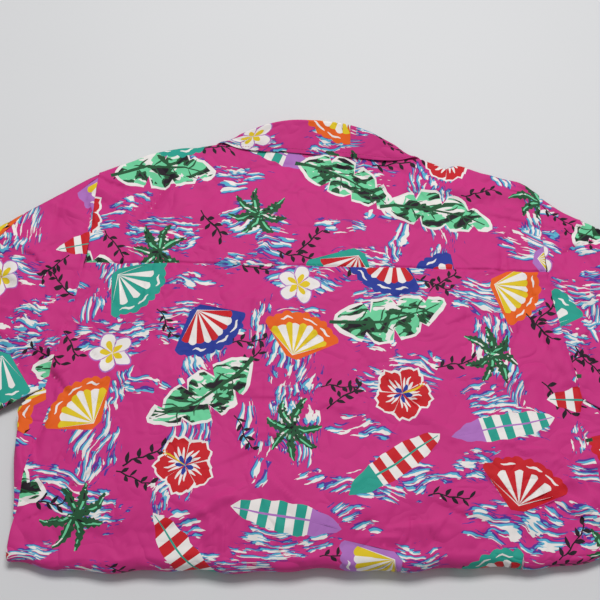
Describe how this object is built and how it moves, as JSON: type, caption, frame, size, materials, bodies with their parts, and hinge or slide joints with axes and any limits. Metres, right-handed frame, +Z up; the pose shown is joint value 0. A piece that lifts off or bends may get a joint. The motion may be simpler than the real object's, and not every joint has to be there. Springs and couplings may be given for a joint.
{
  "type": "hawaiian shirt",
  "caption": "Short-sleeved collared shirt of printed cloth, laid face down with its lower body folded under.",
  "frame": {"origin": "on the table, under the middle of the box around the laid shirt", "axes": "+Z up from the table, +Y towards the collar, +X towards the wearer's right sleeve"},
  "size_m": [0.8986, 0.5068, 0.0321],
  "materials": {
    "print_cloth": "matt printed plain weave",
    "button": "polished"
  },
  "bodies": {
    "root": {"back": "print_cloth", "yoke": "print_cloth", "collar": "print_cloth", "front_left": "print_cloth", "front_right": "print_cloth", "sleeve_left": "print_cloth", "sleeve_right": "print_cloth", "folded_layers": "print_cloth", "button_top": "button"}
  },
  "joints": []
}
